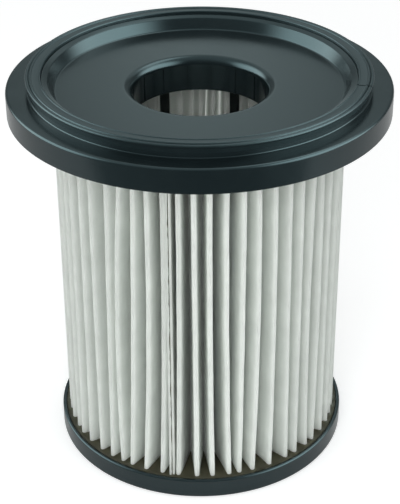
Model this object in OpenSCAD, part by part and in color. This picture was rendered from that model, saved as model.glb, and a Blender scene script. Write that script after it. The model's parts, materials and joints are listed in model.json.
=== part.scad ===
// Pleated cartridge filter for a cylinder vacuum cleaner.
// The origin is the centre of the underside. +Z runs up the axis to the flange and the outlet.
// All sizes are in millimetres.

/* [Pleated sheet] */
// Diameter across the outer folds
pack_d = 96; // [80:1:120]
// Height of the folded sheet
media_h = 124.1; // [90:0.1:160]
// Thickness of the sheet
media_t = 0.6; // [0.4:0.05:0.8]
// Number of outer folds
pleats = 56; // [40:1:64]
// Radial depth of a pleat
pleat_depth = 14.8; // [11:0.1:19]
// Radius of a fold, at the middle of the sheet
fold_r = 0.45; // [0.4:0.05:0.6]
// Angle of the glued seam, from +X towards +Y
seam_angle = -102.1; // [-180:0.1:180]
// Thickness of the glue in the seam
seam_t = 0.5; // [0.2:0.1:1]
// How far the glue stops short of the seam's cut edges
seam_back = 0.6; // [0.2:0.1:2]

/* [Glue beds] */
// Glue between the ends of the sheet and the cups that hold it
bed_t = 0.8; // [0.4:0.1:2]
// How far the lower glue rises up the pleats
low_rise = 3.9; // [2:0.1:6]
// How far the upper glue reaches down the pleats
high_rise = 6.4; // [3:0.1:8]
// Hairline between the glue and the sheet
glue_gap = 0.02; // [0.01:0.01:0.05]

/* [Bottom cap] */
// Gap between the outer folds and the wall round them
pack_gap = 0.9; // [0.4:0.1:2]
// Wall of the bottom cap
cup_wall = 1.5; // [1:0.1:3]
// Floor of the bottom cap
cup_floor = 1.4; // [1:0.1:4]
// Height of the foot ring under the floor
foot_h = 0.6; // [0.3:0.1:2]
// Width of the foot ring
foot_w = 5; // [3:0.5:12]
// Height of the wall above the floor
cup_depth = 5.2; // [4:0.1:12]

/* [Support cage] */
// Gap between the cage and the inner folds
cage_gap = 0.5; // [0.3:0.1:1.5]
// Radial thickness of the cage
cage_t = 2; // [1.6:0.1:4]
// Number of upright bars
bars = 8; // [4:1:12]
// Width of a bar
bar_w = 3.3; // [2:0.1:6]
// Number of hoops between the end rings
hoops = 3; // [1:1:6]
// Height of a hoop
hoop_h = 2.2; // [1.5:0.1:5]

/* [Top cap] */
// Wall of the top cap
wall = 2.2; // [1.6:0.1:3]
// How far the flange stands out past the wall round the pleats
flange_over = 12.1; // [11:0.1:20]
// Height of the flange's outer face
flange_t = 8.2; // [5:0.1:14]
// How far the plate lies below the flange's top
plate_sink = 1.1; // [0:0.1:3]
// Thickness of the wall round the upper glue
dam_wall = 1.5; // [1:0.1:2.5]
// Depth of the wall round the upper glue
dam_depth = 8.2; // [7.5:0.1:14]
// Bare top of the flange, outside the raised rim
ledge_w = 7.1; // [5:0.1:8]
// Height of the rim above the flange, under the seal
rim_h = 1.6; // [1:0.1:4]
// Width of the rim's inner lip at its top
lip_w = 1.95; // [1:0.05:3]
// Height of the rim's inner lip above the seal's seat
lip_h = 1.8; // [1:0.1:2.2]
// How much the lip's top falls towards the middle
lip_fall = 0.8; // [0.2:0.1:1.6]
// How much the rim's inner wall leans in at its foot
lip_lean = 1.9; // [0.5:0.1:4]

/* [Outlet] */
// Diameter of the outlet bore
outlet_d = 44; // [30:0.5:50]
// Length of the outlet, from the plate down
outlet_l = 11.9; // [8:0.1:20]
// Radius of the rounded mouth
mouth_r = 2.8; // [1:0.1:5]
// Number of shallow grooves in the bore
grooves = 16; // [0:1:24]
// Width of a groove
groove_w = 0.8; // [0.4:0.1:2]
// Depth of a groove
groove_t = 0.3; // [0.1:0.1:0.8]

/* [Seal] */
// Width of the seal's seat on the rim
seal_w = 4.55; // [4:0.05:7]
// Height of the seal
seal_h = 2.9; // [2.2:0.1:5]
// How far the seal's lip hangs over the rim
seal_over = 0.6; // [0:0.1:1.5]
// Gap between the seal and the rim's inner lip
seal_gap = 0.1; // [0.05:0.05:0.3]
// Radius of the outer bead
bead_r = 0.62; // [0.4:0.01:0.8]
// Radius of the second bead
bead2_r = 0.5; // [0.3:0.05:0.7]
// Radius of the ridge on the seal's inner edge
ridge_r = 0.4; // [0.3:0.05:0.6]
// Angle of the seal's butt joint, from +X towards +Y
joint_angle = -15.5; // [-180:0.5:180]
// Width of the butt joint
joint_w = 0.35; // [0.1:0.05:1]

/* [Hidden] */
$fn = 128;
over = 1;                 // how far a cutter runs past what it cuts

plastic = "#3b4a4d";
rubber = "#333f42";
black = "#161a1a";
paper = "#dfe3e1";
glue = "#6d6c5c";

// Radii, from the axis outwards
outlet_r = outlet_d / 2;
pack_r = pack_d / 2;
inner_r = pack_r - pleat_depth;
cage_r = inner_r - cage_gap;
cup_ir = pack_r + pack_gap;
cup_r = cup_ir + cup_wall;
dam_r = cup_ir + dam_wall;
flange_r = dam_r + flange_over;
rim_r = flange_r - ledge_w;
lip_r = rim_r - seal_w;
lip_ir = lip_r - lip_w;
foot_r = lip_ir - lip_lean;

// Heights, from the underside up
floor_z = foot_h + cup_floor;
media_z = floor_z + bed_t;
media_top = media_z + media_h;
roof_z = media_top + bed_t;
plate_z = roof_z + wall;
flange_top = plate_z + plate_sink;
flange_z = flange_top - flange_t;
seat_z = flange_top + rim_h;
lip_z = seat_z + lip_h;
seal_top = seat_z + seal_h;
dam_z = roof_z - dam_depth;
outlet_z = plate_z - outlet_l;
low_glue = media_z + low_rise;
high_glue = media_top - high_rise;

// A point at radius r and angle a
function polar(r, a) = r * [cos(a), sin(a)];
function heading(v) = atan2(v[1], v[0]);
function turn(a) = a - 360 * floor(a / 360);

// Points along an arc about c
function arc(c, r, a1, a2, n) = [for (i = [0 : n]) c + polar(r, a1 + (a2 - a1) * i / n)];

// One corner of an outline, rounded to radius r as far as its two edges allow
function corner(before, at, after, r, n = 6) =
    let (
        u = (before - at) / norm(before - at),
        v = (after - at) / norm(after - at),
        half = acos(u * v) / 2,
        room = 0.49 * min(norm(before - at), norm(after - at)),
        q = min(r, room * tan(half)),
        c = at + (u + v) / norm(u + v) * q / sin(half),
        a1 = heading(at + u * q / tan(half) - c),
        a2 = heading(at + v * q / tan(half) - c),
        swing = turn(a2 - a1 + 180) - 180
    )
    q < 0.01 ? [at] : arc(c, q, a1, a1 + swing, n);

// An outline from a list of [x, y, radius]
function rounded(p) = [
    for (i = [0 : len(p) - 1])
        let (
            before = p[(i + len(p) - 1) % len(p)],
            at = p[i],
            after = p[(i + 1) % len(p)]
        )
        each corner([before[0], before[1]], [at[0], at[1]], [after[0], after[1]], at[2])
];

// The folded sheet. It starts at the seam's raw edge, runs in to an inner fold and out to an outer
// fold, and so on round the axis to the other raw edge. Each fold is [centre, 1 if outer].
pitch = 360 / pleats;
out_c = pack_r - media_t / 2 - fold_r;
in_c = inner_r + media_t / 2 + fold_r;
leg_off = (seam_t + media_t) / 2;
edge_r = pack_r - 0.2;                    // the cut edges stop just short of the folds
seam_in = [in_c, leg_off + fold_r];       // first inner fold, seen along the seam

function seam_point(p) =
    [p[0] * cos(seam_angle) - p[1] * sin(seam_angle), p[0] * sin(seam_angle) + p[1] * cos(seam_angle)];

folds = concat(
    [[seam_point(seam_in), 0]],
    [for (i = [0 : 2 * pleats - 2])
        i % 2 == 0
            ? [polar(out_c, seam_angle + (i + 1) * pitch / 2), 1]
            : [polar(in_c, seam_angle + (i + 1) * pitch / 2), 0]],
    [[seam_point([seam_in[0], -seam_in[1]]), 0]]
);

// Direction of the straight leg that leaves fold i for fold i + 1
function leg(i) =
    i < 0 ? seam_angle + 180 :
    i >= len(folds) - 1 ? seam_angle :
    let (d = folds[i + 1][0] - folds[i][0], lean = asin(2 * fold_r / norm(d)))
    heading(d) + (folds[i][1] == 1 ? lean : -lean);

// One face of the sheet at fold i: side is 1 for the left face and -1 for the right
function fold_face(i, side, t) =
    let (
        outer = folds[i][1] == 1,
        quarter = outer ? -90 : 90,
        r = fold_r + (outer ? -1 : 1) * side * t / 2,
        a1 = leg(i - 1) + quarter,
        swing = outer ? turn(leg(i) - leg(i - 1)) : -turn(leg(i - 1) - leg(i))
    )
    arc(folds[i][0], r, a1, a1 + swing, r > fold_r ? 5 : 2);

function sheet_outline(t) =
    let (last = len(folds) - 1)
    concat(
        [seam_point([edge_r, leg_off + t / 2])],
        [for (i = [0 : last]) each fold_face(i, -1, t)],
        [seam_point([edge_r, -leg_off - t / 2])],
        [seam_point([edge_r, -leg_off + t / 2])],
        [for (i = [last : -1 : 0]) let (f = fold_face(i, 1, t)) each [for (k = [len(f) - 1 : -1 : 0]) f[k]]],
        [seam_point([edge_r, leg_off - t / 2])]
    );

module ring(r_out, r_in, h) {
    linear_extrude(h) difference() {
        circle(r_out);
        circle(r_in);
    }
}

// Injection moulded cap: flange with a hanging skirt, raised rim, sunken plate and outlet
module top_cap() {
    color(plastic) difference() {
        rotate_extrude() polygon(rounded([
            [outlet_r, outlet_z, 0.4],
            [outlet_r, plate_z, mouth_r],
            [foot_r, plate_z, 0.8],
            [lip_ir, lip_z - lip_fall, 0.5],
            [lip_r, lip_z, 0.2],
            [lip_r, seat_z, 0],
            [rim_r, seat_z, 0.3],
            [rim_r, flange_top, 0.4],
            [flange_r, flange_top, 0.9],
            [flange_r, flange_z, 0.3],
            [flange_r - wall, flange_z, 0.3],
            [flange_r - wall, flange_top - wall, 0.8],
            [rim_r - wall, flange_top - wall, 0.4],
            [rim_r - wall, seat_z - wall, 0.4],
            [dam_r, seat_z - wall, 0.4],
            [dam_r, dam_z, 0.4],
            [cup_ir, dam_z, 0.4],
            [cup_ir, roof_z, 0],
            [outlet_r + wall, roof_z, 0.8],
            [outlet_r + wall, outlet_z, 0.4]
        ]));
        outlet_grooves();
    }
}

// Shallow upright grooves, half a step away from the bars of the cage
module outlet_grooves() {
    for (i = [0 : 1 : grooves - 1])
        rotate(90 + (i + 0.5) * 360 / grooves)
            translate([outlet_r - over, -groove_w / 2, outlet_z - over])
                cube([over + groove_t, groove_w, plate_z - mouth_r - outlet_z + over]);
}

// Rubber strip with two outer beads, laid round the rim with its ends butted together
module rim_seal() {
    bead = [rim_r + seal_over - bead_r, seal_top - 0.2 - bead_r];
    bead2 = [bead[0] - bead_r - bead2_r, seal_top - bead2_r];
    ridge = [lip_r + seal_gap + ridge_r, seal_top - ridge_r];
    band_z = seal_top - 0.25;
    color(rubber) difference() {
        rotate_extrude() {
            polygon([
                [lip_r + seal_gap, seat_z],
                [rim_r, seat_z],
                [rim_r + 0.15, bead[1] - bead_r],
                bead,
                [bead2[0] + bead2_r / 2, bead2[1]],
                [bead2[0], band_z],
                [ridge[0], band_z],
                [lip_r + seal_gap, ridge[1]]
            ]);
            translate(bead) circle(bead_r);
            translate(bead2) circle(bead2_r);
            translate(ridge) circle(ridge_r - 0.01);
        }
        rotate(joint_angle) translate([lip_ir, -joint_w / 2, seat_z - over])
            cube([seal_w + lip_w + 2 * seal_over + over, joint_w, seal_h + 2 * over]);
    }
}

// Moulded cage that keeps the pleats from being sucked in
module core_cage() {
    inset = 0.2;          // bars and hoops are a little thinner than the end rings
    low_ring = low_glue - floor_z + 0.8;
    high_ring = roof_z - high_glue + 0.8;
    clear_h = roof_z - high_ring - floor_z - low_ring;
    color(black) {
        translate([0, 0, floor_z]) ring(cage_r, cage_r - cage_t, low_ring);
        translate([0, 0, roof_z - high_ring]) ring(cage_r, cage_r - cage_t, high_ring);
        for (i = [0 : bars - 1])
            rotate(90 + (i + 0.5) * 360 / bars)
                translate([cage_r - cage_t / 2, 0, floor_z + low_ring / 2])
                    linear_extrude(clear_h + (low_ring + high_ring) / 2)
                        bar_section(cage_t - 2 * inset, bar_w, 0.5);
        for (i = [1 : hoops])
            translate([0, 0, floor_z + low_ring + clear_h * i / (hoops + 1) - hoop_h / 2])
                ring(cage_r - 2 * inset, cage_r - cage_t + 2 * inset, hoop_h);
    }
}

module bar_section(t, w, r) {
    polygon(rounded([[-t / 2, -w / 2, r], [t / 2, -w / 2, r], [t / 2, w / 2, r], [-t / 2, w / 2, r]]));
}

// One folded sheet of non-woven medium
module pleat_pack() {
    color(paper) translate([0, 0, media_z]) linear_extrude(media_h) polygon(sheet_outline(media_t));
}

// Hot-melt glue between the sheet's two end legs, set back from their cut edges
module seam_bond() {
    color(glue) translate([0, 0, media_z]) linear_extrude(media_h) seam_section(seam_t - 2 * glue_gap);
}

module seam_section(t) {
    rotate(seam_angle) translate([in_c, -t / 2]) square([edge_r - seam_back - in_c, t]);
}

// Glue round the sheet and its seam, without the solid bed past their ends
module glue_body(h) {
    linear_extrude(h) difference() {
        circle(cup_ir);
        circle(cage_r);
        polygon(sheet_outline(media_t + 2 * glue_gap));
        seam_section(seam_t);
    }
}

module top_potting() {
    color(glue) {
        translate([0, 0, high_glue]) glue_body(high_rise + glue_gap);
        translate([0, 0, media_top + glue_gap]) ring(cup_ir, cage_r, bed_t - glue_gap);
    }
}

module bottom_potting() {
    color(glue) {
        translate([0, 0, floor_z]) ring(cup_ir, cage_r, bed_t - glue_gap);
        translate([0, 0, media_z - glue_gap]) glue_body(low_rise + glue_gap);
    }
}

// Shallow closed cup under the pleats, standing on a foot ring
module bottom_cap() {
    color(plastic) rotate_extrude() polygon(rounded([
        [0, foot_h, 0],
        [cup_r - foot_w - foot_h, foot_h, 0],
        [cup_r - foot_w, 0, 0.3],
        [cup_r, 0, 1],
        [cup_r, floor_z + cup_depth, 0.7],
        [cup_ir, floor_z + cup_depth, 0.6],
        [cup_ir, floor_z, 0],
        [0, floor_z, 0]
    ]));
}

top_cap();
rim_seal();
core_cage();
pleat_pack();
seam_bond();
top_potting();
bottom_potting();
bottom_cap();
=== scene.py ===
# Cartridge filter for a cylinder vacuum cleaner: moulded caps, a rubber sealing strip and a folded fleece.
import json
import math
import random

import bmesh
import bpy
import numpy as np
from mathutils import Euler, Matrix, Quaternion, Vector
from mathutils.kdtree import KDTree

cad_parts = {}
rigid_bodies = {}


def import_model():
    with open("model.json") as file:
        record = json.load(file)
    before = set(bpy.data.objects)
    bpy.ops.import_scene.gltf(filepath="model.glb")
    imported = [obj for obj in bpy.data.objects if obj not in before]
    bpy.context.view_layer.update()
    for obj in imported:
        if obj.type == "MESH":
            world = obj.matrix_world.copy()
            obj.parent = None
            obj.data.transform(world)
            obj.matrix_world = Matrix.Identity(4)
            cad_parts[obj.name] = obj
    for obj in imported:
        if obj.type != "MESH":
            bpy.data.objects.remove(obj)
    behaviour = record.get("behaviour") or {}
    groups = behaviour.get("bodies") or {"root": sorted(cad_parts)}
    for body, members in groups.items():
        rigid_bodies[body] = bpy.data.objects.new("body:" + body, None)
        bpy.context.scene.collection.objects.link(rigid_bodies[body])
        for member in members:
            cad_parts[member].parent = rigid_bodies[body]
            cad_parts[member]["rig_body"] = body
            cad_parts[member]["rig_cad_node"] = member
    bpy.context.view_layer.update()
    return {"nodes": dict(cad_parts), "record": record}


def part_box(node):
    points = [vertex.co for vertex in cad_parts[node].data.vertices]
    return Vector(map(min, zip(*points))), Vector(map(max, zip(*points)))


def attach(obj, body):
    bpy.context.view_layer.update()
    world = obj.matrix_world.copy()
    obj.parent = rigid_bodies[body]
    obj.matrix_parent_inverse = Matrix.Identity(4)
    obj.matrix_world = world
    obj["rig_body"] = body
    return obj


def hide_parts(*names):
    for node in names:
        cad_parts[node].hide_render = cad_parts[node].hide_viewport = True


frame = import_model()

mm = 0.001
mounts = {m["name"]: m for m in frame["record"]["mounts"]}

# Levels and radii that the pieces share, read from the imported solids
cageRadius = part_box("core_cage")[1].x
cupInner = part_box("bottom_potting")[1].x
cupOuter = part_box("bottom_cap")[1].x
flangeRadius = mounts["flange_rim"]["dims"]["r_mm"] * mm
boreRadius = mounts["outlet_bore"]["dims"]["r_mm"] * mm
flangeFoot = mounts["flange_seat"]["pos_m"][2]
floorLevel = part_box("bottom_potting")[0].z
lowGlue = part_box("bottom_potting")[1].z
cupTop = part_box("bottom_cap")[1].z
sheetFoot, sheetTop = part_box("pleat_pack")[0].z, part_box("pleat_pack")[1].z
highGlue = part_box("top_potting")[0].z
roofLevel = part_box("top_potting")[1].z
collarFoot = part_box("top_cap")[0].z
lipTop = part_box("top_cap")[1].z
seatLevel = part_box("rim_seal")[0].z
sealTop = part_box("rim_seal")[1].z


# Small modelling helpers
def clearSelection():
    for thing in bpy.context.selected_objects:
        thing.select_set(False)


def makeActive(piece):
    clearSelection()
    piece.select_set(True)
    bpy.context.view_layer.objects.active = piece


def editMode(kind="VERT"):
    bpy.ops.object.mode_set(mode="EDIT")
    bpy.ops.mesh.select_mode(type=kind)


def objectMode():
    bpy.ops.object.mode_set(mode="OBJECT")


# In edit mode: selects only the elements that pass the test, which is given a centre
def pick(piece, kind, test):
    bpy.ops.mesh.select_all(action="DESELECT")
    bpy.ops.mesh.select_mode(type=kind)
    shape = bmesh.from_edit_mesh(piece.data)
    groups = {"VERT": shape.verts, "EDGE": shape.edges, "FACE": shape.faces}
    for element in groups[kind]:
        if kind == "VERT":
            centre = element.co
        elif kind == "EDGE":
            centre = (element.verts[0].co + element.verts[1].co) / 2
        else:
            centre = element.calc_center_median()
        if test(centre):
            element.select_set(True)
    shape.select_flush_mode()
    bmesh.update_edit_mesh(piece.data)


def near(a, b, within=0.01 * mm):
    return abs(a - b) < within


def applyModifier(piece, kind, **settings):
    makeActive(piece)
    modifier = piece.modifiers.new(kind.title(), kind)
    for key, value in settings.items():
        setattr(modifier, key, value)
    bpy.ops.object.modifier_apply(modifier=modifier.name)


# Draws an outline in the XZ plane, corner by corner, and rounds the corners that have a radius
def drawOutline(name, corners, closed=True):
    clearSelection()
    start = corners[0]
    bpy.ops.mesh.primitive_plane_add(size=mm, location=(start[0], 0, start[1]))
    piece = bpy.context.object
    piece.name = piece.data.name = name
    bpy.ops.object.transform_apply(location=True, rotation=True, scale=True)
    editMode()
    bpy.ops.mesh.select_all(action="SELECT")
    bpy.ops.mesh.merge(type="CENTER")
    for before, after in zip(corners, corners[1:]):
        step = (after[0] - before[0], 0, after[1] - before[1])
        bpy.ops.mesh.extrude_region_move(TRANSFORM_OT_translate={"value": step})
    if closed:
        ends = [corners[0], corners[-1]]
        pick(piece, "VERT", lambda c: any(near(c.x, e[0]) and near(c.z, e[1]) for e in ends))
        bpy.ops.mesh.edge_face_add()
    count = len(corners)
    for i, corner in enumerate(corners):
        if len(corner) < 3 or corner[2] == 0:
            continue
        before, after = corners[i - 1], corners[(i + 1) % count]
        u = Vector((before[0] - corner[0], before[1] - corner[1])).normalized()
        v = Vector((after[0] - corner[0], after[1] - corner[1])).normalized()
        reach = corner[2] / math.tan(u.angle(v) / 2)
        steps = corner[3] if len(corner) > 3 else 4
        pick(piece, "VERT", lambda c: near(c.x, corner[0]) and near(c.z, corner[1]))
        bpy.ops.mesh.bevel(affect="VERTICES", offset=reach, segments=steps, profile=0.5)
    return piece


# Spins the outline about the axis, in edit mode, and closes the seam
def spinOutline(piece, steps):
    bpy.ops.mesh.select_all(action="SELECT")
    bpy.ops.mesh.spin(steps=steps, angle=math.tau, center=(0, 0, 0), axis=(0, 0, 1))
    bpy.ops.mesh.select_all(action="SELECT")
    bpy.ops.mesh.remove_doubles(threshold=0.001 * mm)
    bpy.ops.mesh.normals_make_consistent(inside=False)


def smoothShade(piece, angle=32):
    makeActive(piece)
    bpy.ops.object.shade_smooth_by_angle(angle=math.radians(angle))
    applyModifier(piece, "WEIGHTED_NORMAL", keep_sharp=True, weight=80)


def finishPiece(piece, node, slot, *materials):
    piece.data.materials.clear()
    for material in materials:
        piece.data.materials.append(material)
    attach(piece, "root")
    if node:
        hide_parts(node)


# Materials
def linearColour(hexText, alpha=1.0):
    parts = [int(hexText[i:i + 2], 16) / 255 for i in (1, 3, 5)]
    return [c / 12.92 if c <= 0.04045 else ((c + 0.055) / 1.055) ** 2.4 for c in parts] + [alpha]


# Adds a node: values go to its sockets, links are (socket, other node, other's output)
def addNode(tree, kind, settings=None, values=None, links=()):
    node = tree.nodes.new(kind)
    for key, value in (settings or {}).items():
        setattr(node, key, value)
    for key, value in (values or {}).items():
        node.inputs[key].default_value = value
    for socket, other, output in links:
        tree.links.new(other.outputs[output], node.inputs[socket])
    return node


def newMaterial(name):
    material = bpy.data.materials.new(name)
    material.use_nodes = True
    tree = material.node_tree
    tree.nodes.clear()
    out = addNode(tree, "ShaderNodeOutputMaterial")
    place = addNode(tree, "ShaderNodeTexCoord")
    return material, tree, out, place


def ramp(tree, source, output, stops):
    node = addNode(tree, "ShaderNodeValToRGB", links=[("Fac", source, output)])
    for i, (position, colour) in enumerate(stops):
        spot = node.color_ramp.elements[i] if i < 2 else node.color_ramp.elements.new(position)
        spot.position = position
        spot.color = colour
    return node


# Injection moulded ABS: smooth and glossy, with the faint orange peel of a polished mould and a few fine rubs
def mouldedAbs(name, look):
    material, tree, out, place = newMaterial(name)
    peel = addNode(tree, "ShaderNodeTexNoise", values={"Scale": 1 / (look["peelSize"] * mm), "Detail": 2.0},
                   links=[("Vector", place, "Object")])
    rubs = addNode(tree, "ShaderNodeTexNoise", values={"Scale": 1 / (look["rubSize"] * mm), "Detail": 6.0,
                                                       "Roughness": 0.65},
                   links=[("Vector", place, "Object")])
    tone = ramp(tree, rubs, "Fac", [(0.35, linearColour(look["colour"])), (0.75, linearColour(look["paleColour"]))])
    rough = addNode(tree, "ShaderNodeMapRange", values={"From Min": 0.3, "From Max": 0.75,
                                                        "To Min": look["roughness"], "To Max": look["rubbed"]},
                    links=[("Value", rubs, "Fac")])
    bump = addNode(tree, "ShaderNodeBump", values={"Strength": look["peel"], "Distance": 0.05 * mm},
                   links=[("Height", peel, "Fac")])
    shader = addNode(tree, "ShaderNodeBsdfPrincipled", values={"IOR": 1.5, "Specular IOR Level": look["gloss"],
                                                                "Specular Tint": linearColour(look["sheen"])},
                     links=[("Base Color", tone, "Color"), ("Roughness", rough, "Result"),
                            ("Normal", bump, "Normal")])
    tree.links.new(shader.outputs["BSDF"], out.inputs["Surface"])
    return material


# Extruded rubber: darker and softer in gloss than the cap, with fine lengthwise rubbing
def extrudedRubber(name, look):
    material, tree, out, place = newMaterial(name)
    grain = addNode(tree, "ShaderNodeTexNoise", values={"Scale": 1 / (look["grainSize"] * mm), "Detail": 4.0},
                    links=[("Vector", place, "Object")])
    patches = addNode(tree, "ShaderNodeTexNoise", values={"Scale": 1 / (look["patchSize"] * mm), "Detail": 3.0},
                      links=[("Vector", place, "Object")])
    tone = ramp(tree, patches, "Fac", [(0.3, linearColour(look["colour"])), (0.8, linearColour(look["paleColour"]))])
    rough = addNode(tree, "ShaderNodeMapRange", values={"From Min": 0.25, "From Max": 0.75,
                                                        "To Min": look["roughness"], "To Max": look["rubbed"]},
                    links=[("Value", patches, "Fac")])
    bump = addNode(tree, "ShaderNodeBump", values={"Strength": look["grain"], "Distance": 0.04 * mm},
                   links=[("Height", grain, "Fac")])
    shader = addNode(tree, "ShaderNodeBsdfPrincipled", values={"IOR": 1.52, "Specular IOR Level": look["gloss"],
                                                                "Specular Tint": linearColour(look["sheen"])},
                     links=[("Base Color", tone, "Color"), ("Roughness", rough, "Result"),
                            ("Normal", bump, "Normal")])
    tree.links.new(shader.outputs["BSDF"], out.inputs["Surface"])
    return material


# Thermally bonded polyester fleece: matt, fine random fibres, thin enough to let light glow through
def bondedFleece(name, look):
    material, tree, out, place = newMaterial(name)
    fibres = addNode(tree, "ShaderNodeTexNoise", values={"Scale": 1 / (look["fibreSize"] * mm), "Detail": 8.0,
                                                         "Roughness": 0.7},
                     links=[("Vector", place, "Object")])
    clouds = addNode(tree, "ShaderNodeTexNoise", values={"Scale": 1 / (look["cloudSize"] * mm), "Detail": 3.0},
                     links=[("Vector", place, "Object")])
    mixed = addNode(tree, "ShaderNodeMath", {"operation": "MULTIPLY_ADD"}, {1: 0.6},
                    [(0, fibres, "Fac"), (2, clouds, "Fac")])
    tone = ramp(tree, mixed, "Value", [(0.55, linearColour(look["shadeColour"])), (1.0, linearColour(look["colour"]))])
    bump = addNode(tree, "ShaderNodeBump", values={"Strength": look["nap"], "Distance": 0.08 * mm},
                   links=[("Height", fibres, "Fac")])
    front = addNode(tree, "ShaderNodeBsdfPrincipled", values={"Roughness": 0.95, "Specular IOR Level": 0.15},
                    links=[("Base Color", tone, "Color"), ("Normal", bump, "Normal")])
    glow = addNode(tree, "ShaderNodeBsdfTranslucent", links=[("Color", tone, "Color")])
    both = addNode(tree, "ShaderNodeMixShader", values={0: look["glow"]},
                   links=[(1, front, "BSDF"), (2, glow, "BSDF")])
    tree.links.new(both.outputs["Shader"], out.inputs["Surface"])
    return material


# Cast glue: olive brown, smooth where it levelled itself, with small dull clouds
def castGlue(name, look):
    material, tree, out, place = newMaterial(name)
    clouds = addNode(tree, "ShaderNodeTexNoise", values={"Scale": 1 / (look["cloudSize"] * mm), "Detail": 5.0},
                     links=[("Vector", place, "Object")])
    tone = ramp(tree, clouds, "Fac", [(0.3, linearColour(look["colour"])), (0.75, linearColour(look["paleColour"]))])
    rough = addNode(tree, "ShaderNodeMapRange", values={"From Min": 0.3, "From Max": 0.7,
                                                        "To Min": look["roughness"], "To Max": look["rubbed"]},
                    links=[("Value", clouds, "Fac")])
    bump = addNode(tree, "ShaderNodeBump", values={"Strength": 0.2, "Distance": 0.1 * mm},
                   links=[("Height", clouds, "Fac")])
    shader = addNode(tree, "ShaderNodeBsdfPrincipled", values={"IOR": 1.5},
                     links=[("Base Color", tone, "Color"), ("Roughness", rough, "Result"),
                            ("Normal", bump, "Normal")])
    tree.links.new(shader.outputs["BSDF"], out.inputs["Surface"])
    return material


capPlastic = mouldedAbs("charcoalAbs", {
    "colour": "#141c1e", "paleColour": "#182022", "peelSize": 1.6, "peel": 0.05, "rubSize": 14,
    "roughness": 0.16, "rubbed": 0.24, "gloss": 0.5, "sheen": "#e4fbff"})
cagePlastic = mouldedAbs("blackPolypropylene", {
    "colour": "#0d100f", "paleColour": "#121515", "peelSize": 0.8, "peel": 0.15, "rubSize": 9,
    "roughness": 0.35, "rubbed": 0.5, "gloss": 0.4, "sheen": "#f0ffff"})
sealRubber = extrudedRubber("extrudedRubber", {
    "colour": "#141c1e", "paleColour": "#1a2224", "grainSize": 0.5, "grain": 0.12, "patchSize": 11,
    "roughness": 0.3, "rubbed": 0.38, "gloss": 0.55, "sheen": "#e4fbff"})
fleece = bondedFleece("bondedPolyesterFleece", {
    "colour": "#f6f8f6", "shadeColour": "#f0f2f0", "fibreSize": 0.35, "cloudSize": 6, "nap": 0.35,
    "glow": 0.82})
glue = castGlue("oliveHotMelt", {
    "colour": "#3a392b", "paleColour": "#4a4838", "cloudSize": 3, "roughness": 0.3, "rubbed": 0.55})
print("materials ready")


# Top cap: one moulding, spun from its section, with upright grooves pressed into the outlet
topCap = {
    "sides": 352,            # 22 steps to each groove, so that a groove is two faces wide
    "plateTop": 129.9 * mm,
    "flangeTop": 131.0 * mm,
    "mouthRound": 2.8 * mm,
    "lipOuter": 50.85 * mm,
    "lipInner": 48.9 * mm,
    "lipEdge": 133.6 * mm,
    "plateEdge": 47.0 * mm,
    "rimOuter": 55.4 * mm,
    "damInner": 48.9 * mm,
    "damOuter": 50.4 * mm,
    "damFoot": 119.5 * mm,
    "wall": 2.2 * mm,
    "grooves": 16,
    "grooveDepth": 0.3 * mm,
}


def makeTopCap(s):
    plate, flange, wall = s["plateTop"], s["flangeTop"], s["wall"]
    piece = drawOutline("flangedCap", [
        (boreRadius, collarFoot, 0.4 * mm, 4),
        (boreRadius, plate, s["mouthRound"], 12),
        (s["plateEdge"], plate, 0.8 * mm, 6),
        (s["lipInner"], s["lipEdge"], 0.5 * mm, 5),
        (s["lipOuter"], lipTop, 0.2 * mm, 3),
        (s["lipOuter"], seatLevel),
        (s["rimOuter"], seatLevel),
        (s["rimOuter"], flange, 0.4 * mm, 4),
        (flangeRadius, flange, 0.9 * mm, 8),
        (flangeRadius, flangeFoot, 0.3 * mm, 4),
        (flangeRadius - wall, flangeFoot, 0.3 * mm, 4),
        (flangeRadius - wall, flange - wall, 0.8 * mm, 4),
        (s["rimOuter"] - wall, flange - wall, 0.4 * mm, 3),
        (s["rimOuter"] - wall, seatLevel - wall, 0.4 * mm, 3),
        (s["damOuter"], seatLevel - wall, 0.4 * mm, 3),
        (s["damOuter"], s["damFoot"], 0.4 * mm, 4),
        (s["damInner"], s["damFoot"], 0.4 * mm, 4),
        (s["damInner"], roofLevel),
        (boreRadius + wall, roofLevel, 0.8 * mm, 4),
        (boreRadius + wall, collarFoot, 0.4 * mm, 4),
    ])
    spinOutline(piece, s["sides"])
    pitch = math.tau / s["grooves"]
    halfGroove = math.tau / s["sides"]

    def inGroove(c):
        if not near(math.hypot(c.x, c.y), boreRadius, 0.02 * mm) or c.z > plate - s["mouthRound"]:
            return False
        turn = (math.atan2(c.y, c.x) - math.pi / 2 + pitch / 2) % pitch
        return min(turn, pitch - turn) < halfGroove

    pick(piece, "FACE", inGroove)
    bpy.ops.mesh.extrude_region_shrink_fatten(TRANSFORM_OT_shrink_fatten={"value": -s["grooveDepth"]})
    objectMode()
    smoothShade(piece)
    finishPiece(piece, "top_cap", "cap_plastic", capPlastic)
    return piece


flangedCap = makeTopCap(topCap)
print("flanged cap:", len(flangedCap.data.polygons), "faces")


# Seal: an extruded strip with a ridge, a flat band and two beads, laid round the rim and butted at one place
seal = {
    "inner": 50.95 * mm,
    "outer": 55.4 * mm,
    "overhang": 0.6 * mm,
    "ridgeRadius": 0.4 * mm,
    "ridgeDrop": 0.15 * mm,
    "bandDrop": 0.35 * mm,
    "beadRadius": 0.62 * mm,
    "beadDrop": 0.2 * mm,
    "innerBeadRadius": 0.5 * mm,
    "jointAngle": -15.5,     # degrees from +X
    "jointGap": 0.5 * mm,
    "steps": 420,
}


def arcPoints(centre, radius, start, end, count):
    turns = [math.radians(start + (end - start) * i / count) for i in range(count + 1)]
    return [(centre[0] + radius * math.cos(t), centre[1] + radius * math.sin(t)) for t in turns]


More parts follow.
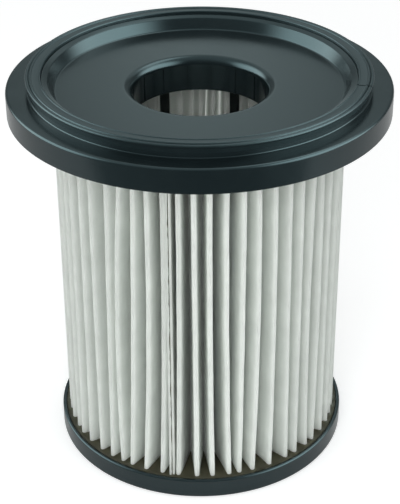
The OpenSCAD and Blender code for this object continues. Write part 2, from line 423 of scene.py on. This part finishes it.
def makeSeal(s):
    top = sealTop
    bead = (s["outer"] + s["overhang"] - s["beadRadius"], top - s["beadDrop"] - s["beadRadius"])
    innerBead = (bead[0] - s["beadRadius"] - s["innerBeadRadius"], top - s["innerBeadRadius"])
    ridge = (s["inner"] + s["ridgeRadius"], top - s["ridgeDrop"] - s["ridgeRadius"])
    band = top - s["bandDrop"]
    outline = [(s["inner"], seatLevel), (s["outer"], seatLevel), (s["outer"] + 0.15 * mm, bead[1] - 0.5 * mm)]
    outline += arcPoints(bead, s["beadRadius"], -65, 150, 14)
    outline += arcPoints(innerBead, s["innerBeadRadius"], 10, 155, 12)
    outline += [(innerBead[0] - 0.9 * mm, band), (ridge[0] + 0.75 * mm, band)]
    outline += arcPoints(ridge, s["ridgeRadius"], 30, 180, 8)
    piece = drawOutline("rimStrip", outline)
    gap = s["jointGap"] / s["outer"]
    bpy.ops.mesh.select_all(action="SELECT")
    bpy.ops.mesh.edge_face_add()
    bpy.ops.mesh.spin(steps=s["steps"], angle=math.tau - gap, center=(0, 0, 0), axis=(0, 0, 1))
    bpy.ops.mesh.select_all(action="SELECT")
    bpy.ops.mesh.remove_doubles(threshold=0.001 * mm)
    objectMode()
    turn = math.radians(s["jointAngle"]) + gap / 2
    piece.rotation_euler.z = turn
    makeActive(piece)
    bpy.ops.object.transform_apply(location=True, rotation=True, scale=True)
    editMode()
    bpy.ops.mesh.select_all(action="SELECT")
    bpy.ops.mesh.normals_make_consistent(inside=False)
    objectMode()
    smoothShade(piece, 40)
    finishPiece(piece, "rim_seal", "seal_rubber", sealRubber)
    return piece


rimStrip = makeSeal(seal)
print("sealing strip:", len(rimStrip.data.polygons), "faces")


# Fleece: one flat strip, folded in code along a path that is worked out anew at every height
sheet = {
    "pleats": 56,
    "outer": 48.0 * mm,
    "depth": 14.8 * mm,
    "thickness": 0.6 * mm,
    "foldRadius": 0.45 * mm,
    "seamAngle": -102.1,     # degrees from +X
    "seamGap": 0.5 * mm,
    "rows": 46,
    "legSteps": 4,
    "outerSteps": 6,
    "innerSteps": 4,
    "slide": 0.3 * mm,       # how far folds wander sideways
    "innerWander": 0.45,     # and the inner ones as a share of that
    "innerShort": 0.9,       # in mm, how far inner folds fall short at most
    "outerShort": 0.25,
    # how far each outer fold at the front has slid to the right, in mm: at the top, halfway and at the foot
    "frontSlides": [(0.5, 0.5, 0.6), (2.4, 1.6, 0.9), (1.5, -0.4, -0.4), (1.6, 0.5, -1.0), (1.1, 0.7, -0.8),
                    (0.9, 0.6, -0.4), (0.5, 0.3, -0.3), (0.0, 0.2, 0.4), (-0.4, -0.3, 0.2), (-0.4, -0.2, 0.5),
                    (-0.1, -0.3, -0.7), (-0.4, -0.3, -1.1), (0.0, 0.2, -0.1), (0.3, 0.6, 1.1)],
    "firstFront": -6,        # pleat number of the first of them, counted from the seam
    # the same for the inner folds that show through the outlet, to the right at the back
    "backSlides": [2.0, 1.2, 0.8, 1.3, 1.4, 0.9],
    "firstBack": 28,
    "topMark": 104 * mm,
    "midMark": 62 * mm,
    "footMark": 20 * mm,
}


def alongHeight(marks, z, s):
    top, middle, foot = marks
    t = (z - s["midMark"]) / (s["topMark"] - s["midMark"])
    return middle + t * (top - foot) / 2 + t * t * ((top + foot) / 2 - middle)


# Where every fold lies: angle and radius for each outer and inner fold at height z
class Folds:
    def __init__(self, s):
        self.s = s
        count = s["pleats"]
        draw = random.Random(11)
        spread = s["slide"] / mm
        self.outerSlides = [tuple(draw.gauss(0, spread) for _ in range(3)) for _ in range(count)]
        for i, marks in enumerate(s["frontSlides"]):
            self.outerSlides[(s["firstFront"] + i) % count] = marks
        self.innerSlides = [draw.gauss(0, s["innerWander"] * spread) for _ in range(count + 1)]
        for i, mark in enumerate(s["backSlides"]):
            self.innerSlides[s["firstBack"] + i] = -mark
        self.innerDepths = [draw.uniform(0, s["innerShort"]) * mm for _ in range(count + 1)]
        self.outerDepths = [draw.uniform(0, s["outerShort"]) * mm for _ in range(count)]
        self.wobbles = [(draw.uniform(0, math.tau), draw.uniform(0.6, 1.4)) for _ in range(count)]
        self.bows = [(draw.gauss(0, 0.1) * mm, draw.gauss(0, 0.1) * mm) for _ in range(2 * count + 2)]

    def outerAngle(self, j, z):
        s = self.s
        base = math.radians(s["seamAngle"] + (j + 0.5) * 360 / s["pleats"])
        phase, size = self.wobbles[j]
        ripple = 0.03 * size * math.sin(z / (5.5 * mm) + phase) + 0.015 * math.sin(z / (2.1 * mm) + 2 * phase)
        slide = alongHeight(self.outerSlides[j], z, s) + ripple
        return base + slide * mm / s["outer"]

    # The inner folds between outer folds j - 1 and j
    def innerAngle(self, j, z):
        s = self.s
        own = self.innerSlides[j] * mm / (s["outer"] - s["depth"])
        if 0 < j < s["pleats"]:
            middle = (self.outerAngle(j - 1, z) + self.outerAngle(j, z)) / 2
            regular = math.radians(s["seamAngle"] + j * 360 / s["pleats"])
            return 0.5 * middle + 0.5 * regular + own
        return math.radians(s["seamAngle"] + j * 360 / s["pleats"]) + own


def unit(angle):
    return np.array([math.cos(angle), math.sin(angle)])


# One row of the strip: points on its middle surface at height z, from one raw edge to the other
def sheetRow(folds, z):
    s = folds.s
    count, r, half = s["pleats"], s["foldRadius"], s["thickness"] / 2
    outerRing = s["outer"] - half - r
    innerRing = s["outer"] - s["depth"] + half + r
    legOff = (s["seamGap"] + s["thickness"]) / 2
    seamTurn = math.radians(s["seamAngle"])
    alongSeam, acrossSeam = unit(seamTurn), unit(seamTurn + math.pi / 2)
    centres = [(alongSeam * innerRing + acrossSeam * (legOff + r), 0)]
    for j in range(count):
        ring = outerRing - folds.outerDepths[j]
        centres.append((unit(folds.outerAngle(j, z)) * ring, 1))
        if j < count - 1:
            ring = innerRing + folds.innerDepths[j + 1]
            centres.append((unit(folds.innerAngle(j + 1, z)) * ring, 0))
    centres.append((alongSeam * innerRing - acrossSeam * (legOff + r), 0))
    headings = [seamTurn + math.pi]
    for (a, kind), (b, _) in zip(centres, centres[1:]):
        d = b - a
        lean = math.asin(2 * r / np.linalg.norm(d))
        headings.append(math.atan2(d[1], d[0]) + (lean if kind else -lean))
    headings.append(seamTurn)
    points = []
    legs = s["legSteps"]
    edge = s["outer"] - 0.2 * mm
    first = alongSeam * edge + acrossSeam * legOff
    previous = first
    for i, (centre, kind) in enumerate(centres):
        quarter = -math.pi / 2 if kind else math.pi / 2
        start, end = headings[i] + quarter, headings[i + 1] + quarter
        swing = (end - start) % math.tau if kind else -((start - end) % math.tau)
        steps = s["outerSteps"] if kind else s["innerSteps"]
        arc = [centre + r * unit(start + swing * k / steps) for k in range(steps + 1)]
        bow, twist = folds.bows[i]
        side = np.array([-(arc[0] - previous)[1], (arc[0] - previous)[0]])
        side = side / np.linalg.norm(side)
        for k in range(1 if i else 0, legs):
            t = k / legs
            swell = math.sin(math.pi * t) * bow + math.sin(2 * math.pi * t) * 0.4 * twist
            if i == 0:
                swell = 0
            points.append(previous + (arc[0] - previous) * t + side * swell)
        points += arc
        previous = arc[-1]
    last = alongSeam * edge - acrossSeam * legOff
    for k in range(1, legs + 1):
        points.append(previous + (last - previous) * k / legs)
    return points


def makeFleece(s, folds):
    rows = s["rows"]
    columns = len(sheetRow(folds, sheetFoot)) - 1
    clearSelection()
    height = sheetTop - sheetFoot
    bpy.ops.mesh.primitive_grid_add(x_subdivisions=columns, y_subdivisions=rows, size=1)
    piece = bpy.context.object
    piece.name = piece.data.name = "foldedFleece"
    flat = {}
    for vertex in piece.data.vertices:
        flat[vertex.index] = (round((vertex.co.x + 0.5) * columns), round((vertex.co.y + 0.5) * rows))
    paths = []
    for row in range(rows + 1):
        z = sheetFoot + height * row / rows
        paths.append((z, sheetRow(folds, z)))
    for vertex in piece.data.vertices:
        column, row = flat[vertex.index]
        z, path = paths[row]
        vertex.co = (path[column][0], path[column][1], z)
    applyModifier(piece, "SOLIDIFY", thickness=s["thickness"], offset=0, use_even_offset=False)
    makeActive(piece)
    editMode()
    bpy.ops.mesh.select_all(action="SELECT")
    bpy.ops.mesh.normals_make_consistent(inside=False)
    objectMode()
    bpy.ops.object.shade_smooth_by_angle(angle=math.radians(60))
    finishPiece(piece, "pleat_pack", "filter_fleece", fleece)
    return piece


folds = Folds(sheet)
foldedFleece = makeFleece(sheet, folds)
print("folded fleece:", len(foldedFleece.data.polygons), "faces")


# Seam glue: a film between the strip's two end legs, set back from their cut edges
seamGlue = {"thickness": 0.46 * mm, "setBack": 0.6 * mm, "rows": 60}


def makeSeamGlue(s):
    inner = sheet["outer"] - sheet["depth"] + 0.8 * mm
    outer = sheet["outer"] - 0.2 * mm - s["setBack"]
    clearSelection()
    bpy.ops.mesh.primitive_cube_add(size=1, location=((inner + outer) / 2, 0, (sheetFoot + sheetTop) / 2))
    piece = bpy.context.object
    piece.name = piece.data.name = "seamGlue"
    piece.scale = (outer - inner, s["thickness"], sheetTop - sheetFoot)
    bpy.ops.object.transform_apply(location=True, rotation=True, scale=True)
    for cut in range(1, s["rows"]):
        level = sheetFoot + (sheetTop - sheetFoot) * cut / s["rows"]
        editMode()
        bpy.ops.mesh.select_all(action="SELECT")
        bpy.ops.mesh.bisect(plane_co=(0, 0, level), plane_no=(0, 0, 1))
        objectMode()
    draw = random.Random(5)
    shifts = {}
    for vertex in piece.data.vertices:
        if near(vertex.co.x, outer):
            level = round(vertex.co.z / (0.1 * mm))
            vertex.co.x += shifts.setdefault(level, draw.uniform(-0.7, 0.3)) * mm
    piece.rotation_euler.z = math.radians(sheet["seamAngle"])
    bpy.ops.object.transform_apply(location=True, rotation=True, scale=True)
    bpy.ops.object.shade_smooth_by_angle(angle=math.radians(50))
    finishPiece(piece, "seam_bond", "bedding_glue", glue)
    return piece


makeSeamGlue(seamGlue)
print("seam glue done")


# Glue beds: rings of cast glue that creep a little way up the fleece and the walls
glueBed = {"climb": 0.55 * mm, "reach": 0.45 * mm, "rings": 34, "sides": 896, "roughSides": 336, "roughRings": 10}


def makeGlueBed(name, node, low, high, level, rings, sides, s):
    outlineLevel = [(cageRadius + (cupInner - cageRadius) * i / rings, level) for i in range(rings + 1)]
    other = high if near(level, low) else low
    piece = drawOutline(name, [(cageRadius, other)] + outlineLevel + [(cupInner, other)])
    spinOutline(piece, sides)
    objectMode()
    path = sheetRow(folds, level)
    tree = KDTree(4 * len(path))
    for i, (a, b) in enumerate(zip(path, path[1:])):
        for k in range(4):
            at = a + (b - a) * k / 4
            tree.insert((at[0], at[1], 0), 4 * i + k)
    tree.balance()
    up = 1 if level > other else -1
    for vertex in piece.data.vertices:
        if not near(vertex.co.z, level):
            continue
        gap = max(tree.find((vertex.co.x, vertex.co.y, 0))[2] - sheet["thickness"] / 2, 0)
        wallGap = min(cupInner - math.hypot(vertex.co.x, vertex.co.y),
                      math.hypot(vertex.co.x, vertex.co.y) - cageRadius)
        raised = math.exp(-gap / s["reach"]) + 0.5 * math.exp(-max(wallGap, 0) / s["reach"])
        vertex.co.z += up * s["climb"] * min(raised, 1.0)
    makeActive(piece)
    bpy.ops.object.shade_smooth_by_angle(angle=math.radians(50))
    finishPiece(piece, node, "bedding_glue", glue)
    return piece


makeGlueBed("lowerGlue", "bottom_potting", floorLevel, lowGlue, lowGlue, glueBed["rings"],
            glueBed["sides"], glueBed)
makeGlueBed("upperGlue", "top_potting", highGlue, roofLevel, highGlue, glueBed["roughRings"],
            glueBed["roughSides"], glueBed)
print("glue beds done")


# Bottom cap: a shallow closed cup on a foot ring
bottomCap = {
    "sides": 352,
    "footHeight": 0.6 * mm,
    "footWidth": 5.0 * mm,
    "inner": 48.9 * mm,
    "footRound": 1.0 * mm,
    "outerRound": 0.7 * mm,
    "innerRound": 0.6 * mm,
}


def makeBottomCap(s):
    foot, width = s["footHeight"], s["footWidth"]
    piece = drawOutline("closedCup", [
        (0, foot),
        (cupOuter - width - foot, foot),
        (cupOuter - width, 0, 0.3 * mm, 3),
        (cupOuter, 0, s["footRound"], 6),
        (cupOuter, cupTop, s["outerRound"], 6),
        (s["inner"], cupTop, s["innerRound"], 5),
        (s["inner"], floorLevel),
        (0, floorLevel),
    ], closed=False)
    spinOutline(piece, s["sides"])
    objectMode()
    smoothShade(piece)
    finishPiece(piece, "bottom_cap", "cap_plastic", capPlastic)
    return piece


makeBottomCap(bottomCap)
print("bottom cap done")


# Cage: the imported solid's own shape, merged so that it can be shaded smooth
def makeCage():
    source = frame["nodes"]["core_cage"]
    clearSelection()
    piece = source.copy()
    piece.data = source.data.copy()
    piece.name = piece.data.name = "innerCage"
    piece.parent = None
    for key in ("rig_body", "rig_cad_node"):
        if key in piece:
            del piece[key]
    bpy.context.scene.collection.objects.link(piece)
    makeActive(piece)
    editMode()
    bpy.ops.mesh.select_all(action="SELECT")
    bpy.ops.mesh.remove_doubles(threshold=0.002 * mm)
    bpy.ops.mesh.customdata_custom_splitnormals_clear()
    objectMode()
    bpy.ops.object.shade_smooth_by_angle(angle=math.radians(32))
    finishPiece(piece, "core_cage", "cage_plastic", cagePlastic)
    return piece


makeCage()
print("cage done")


# Studio: pale floor, bright surround that fades towards the camera, and broad soft lights on both sides
studio = {
    "floorFront": -0.16,
    "floorBack": 1.6,
    "floorHalf": 1.6,
    "floorColour": "#e6e8e8",
    "floorLift": 0.45,
    "ambient": 0.60,         # even light on matt surfaces
    "ambientFront": 0.75,    # and how much of it comes from the camera's side
    "overhead": 0.85,        # what gloss sees above and behind
    "horizon": 0.25,
    "strip": 0.6,            # narrow bright strip low down at the back
    "frontShade": 0.08,      # what gloss sees of the darker side behind the camera
    "lamps": [
        ("softLeft", (-0.80, -0.55, 0.16), (0, 0, 0.08), 0.6, 0.4, 4.0),
        ("softRight", (0.80, -0.55, 0.16), (0, 0, 0.08), 0.6, 0.4, 4.0),
        ("softFront", (-0.12, -0.85, 0.55), (0, 0, 0.1), 0.5, 0.4, 4.2),
    ],
    "glossTint": (0.80, 0.98, 1.0, 1.0),
    # soft light patches that gloss sees: azimuth from the back to the right, elevation, core, reach, radiance
    "patches": [(-82, 20, 14, 42, 4.6), (104, 18, 16, 46, 5.4), (46, 57, 3, 22, 3.2)],
}


def makeFloor(s):
    clearSelection()
    middle = (s["floorFront"] + s["floorBack"]) / 2
    bpy.ops.mesh.primitive_plane_add(size=1, location=(0, middle, -0.0002))
    floor = bpy.context.object
    floor.name = "floor"
    floor.scale = (2 * s["floorHalf"], s["floorBack"] - s["floorFront"], 1)
    bpy.ops.object.transform_apply(location=True, rotation=True, scale=True)
    material, tree, out, place = newMaterial("paleFloor")
    plain = addNode(tree, "ShaderNodeBsdfDiffuse", values={"Color": linearColour(s["floorColour"])})
    lift = addNode(tree, "ShaderNodeEmission", values={"Color": (1, 1, 1, 1), "Strength": s["floorLift"]})
    both = addNode(tree, "ShaderNodeAddShader", links=[(0, plain, "BSDF"), (1, lift, "Emission")])
    path = addNode(tree, "ShaderNodeLightPath")
    mixed = addNode(tree, "ShaderNodeMixShader",
                    links=[(0, path, "Is Camera Ray"), (1, plain, "BSDF"), (2, both, "Shader")])
    tree.links.new(mixed.outputs["Shader"], out.inputs["Surface"])
    floor.data.materials.append(material)


def maths(tree, operation, *inputs):
    values, links = {}, []
    for i, entry in enumerate(inputs):
        if isinstance(entry, tuple):
            links.append((i, entry[0], entry[1]))
        else:
            values[i] = entry
    return addNode(tree, "ShaderNodeMath", {"operation": operation}, values, links)


def ease(tree, source, output, low, high, bottom, top):
    return addNode(tree, "ShaderNodeMapRange", {"interpolation_type": "SMOOTHSTEP"},
                   {"From Min": low, "From Max": high, "To Min": bottom, "To Max": top},
                   [("Value", source, output)])


def makeWorld(s):
    world = bpy.data.worlds.new("surround")
    bpy.context.scene.world = world
    world.use_nodes = True
    tree = world.node_tree
    tree.nodes.clear()
    out = addNode(tree, "ShaderNodeOutputWorld")
    place = addNode(tree, "ShaderNodeTexCoord")
    parts = addNode(tree, "ShaderNodeSeparateXYZ", links=[("Vector", place, "Generated")])
    # what gloss sees: a bright ceiling, a narrow strip at the back, two soft sides and a dark front
    sky = ease(tree, parts, "Z", 0.40, 0.54, s["horizon"], s["overhead"])
    across = maths(tree, "ABSOLUTE", (parts, "X"))
    strip = ease(tree, across, "Value", 0.0, 0.17, s["strip"], 0.0)
    behind = ease(tree, parts, "Y", 0.0, 0.3, 0.0, 1.0)
    low = ease(tree, parts, "Z", 0.40, 0.54, 1.0, 0.0)
    stripLow = maths(tree, "MULTIPLY", (strip, "Result"), (low, "Result"))
    stripBack = maths(tree, "MULTIPLY", (stripLow, "Value"), (behind, "Result"))
    total = maths(tree, "ADD", (sky, "Result"), (stripBack, "Value"))
    front = ease(tree, parts, "Y", -1.02, -0.2, s["frontShade"], 1.0)
    total = maths(tree, "MULTIPLY", (total, "Value"), (front, "Result"))
    for azimuth, elevation, core, reach, level in s["patches"]:
        az, el = math.radians(azimuth), math.radians(elevation)
        aim = (math.sin(az) * math.cos(el), math.cos(az) * math.cos(el), math.sin(el))
        dot = addNode(tree, "ShaderNodeVectorMath", {"operation": "DOT_PRODUCT"}, {1: aim},
                      [(0, place, "Generated")])
        patch = ease(tree, dot, "Value", math.cos(math.radians(reach)), math.cos(math.radians(core)), 0.0, level)
        total = maths(tree, "ADD", (total, "Value"), (patch, "Result"))
    # what matt surfaces get: nearly even light
    even = ease(tree, parts, "Y", -0.9, 0.6, s["ambient"] * s["ambientFront"], s["ambient"])
    path = addNode(tree, "ShaderNodeLightPath")
    level = addNode(tree, "ShaderNodeMix", {"data_type": "FLOAT"},
                    links=[(0, path, "Is Glossy Ray"), (2, even, "Result"), (3, total, "Value")])
    tint = addNode(tree, "ShaderNodeMix", {"data_type": "RGBA"}, {6: (1, 1, 1, 1), 7: s["glossTint"]},
                   [(0, path, "Is Glossy Ray")])
    light = addNode(tree, "ShaderNodeBackground", links=[("Color", tint, 2), ("Strength", level, 0)])
    white = addNode(tree, "ShaderNodeBackground", values={"Color": (1, 1, 1, 1), "Strength": 1.0})
    mixed = addNode(tree, "ShaderNodeMixShader",
                    links=[(0, path, "Is Camera Ray"), (1, light, "Background"), (2, white, "Background")])
    tree.links.new(mixed.outputs["Shader"], out.inputs["Surface"])


# A soft lamp that lights the matt surfaces; the surround already shows it to the gloss
def addLamp(name, place, aim, width, height, power):
    clearSelection()
    bpy.ops.object.light_add(type="AREA", location=place)
    lamp = bpy.context.object
    lamp.name = name
    lamp.data.shape = "RECTANGLE"
    lamp.data.size, lamp.data.size_y = width, height
    lamp.data.energy = power
    lamp.visible_glossy = False
    lamp.visible_camera = False
    lamp.rotation_euler = (Vector(aim) - Vector(place)).to_track_quat("-Z", "Y").to_euler()


# Camera, as fitted to the photograph: angles in degrees, the focal length as a share of the frame's long side
view = {"place": (0, -0.4295, 0.3197), "pitch": 30.48, "roll": -0.33, "turn": 0.02, "focal": 1442.5 / 504}


def makeCamera(s):
    pitch, roll = math.radians(s["pitch"]), math.radians(s["roll"])
    bpy.ops.object.camera_add(location=s["place"])
    camera = bpy.context.object
    camera.data.sensor_width = 36
    camera.data.lens = s["focal"] * camera.data.sensor_width
    camera.rotation_mode = "QUATERNION"
    tilt = Euler((math.pi / 2 - pitch, 0, math.radians(s["turn"]))).to_quaternion()
    camera.rotation_quaternion = tilt @ Quaternion((0, 0, 1), roll)
    camera.data.clip_start, camera.data.clip_end = 0.01, 10
    bpy.context.scene.camera = camera


makeFloor(studio)
makeWorld(studio)
for name, place, aim, width, height, power in studio["lamps"]:
    addLamp(name, place, aim, width, height, power)
makeCamera(view)
bpy.context.scene.view_settings.view_transform = "Standard"
print("studio ready")
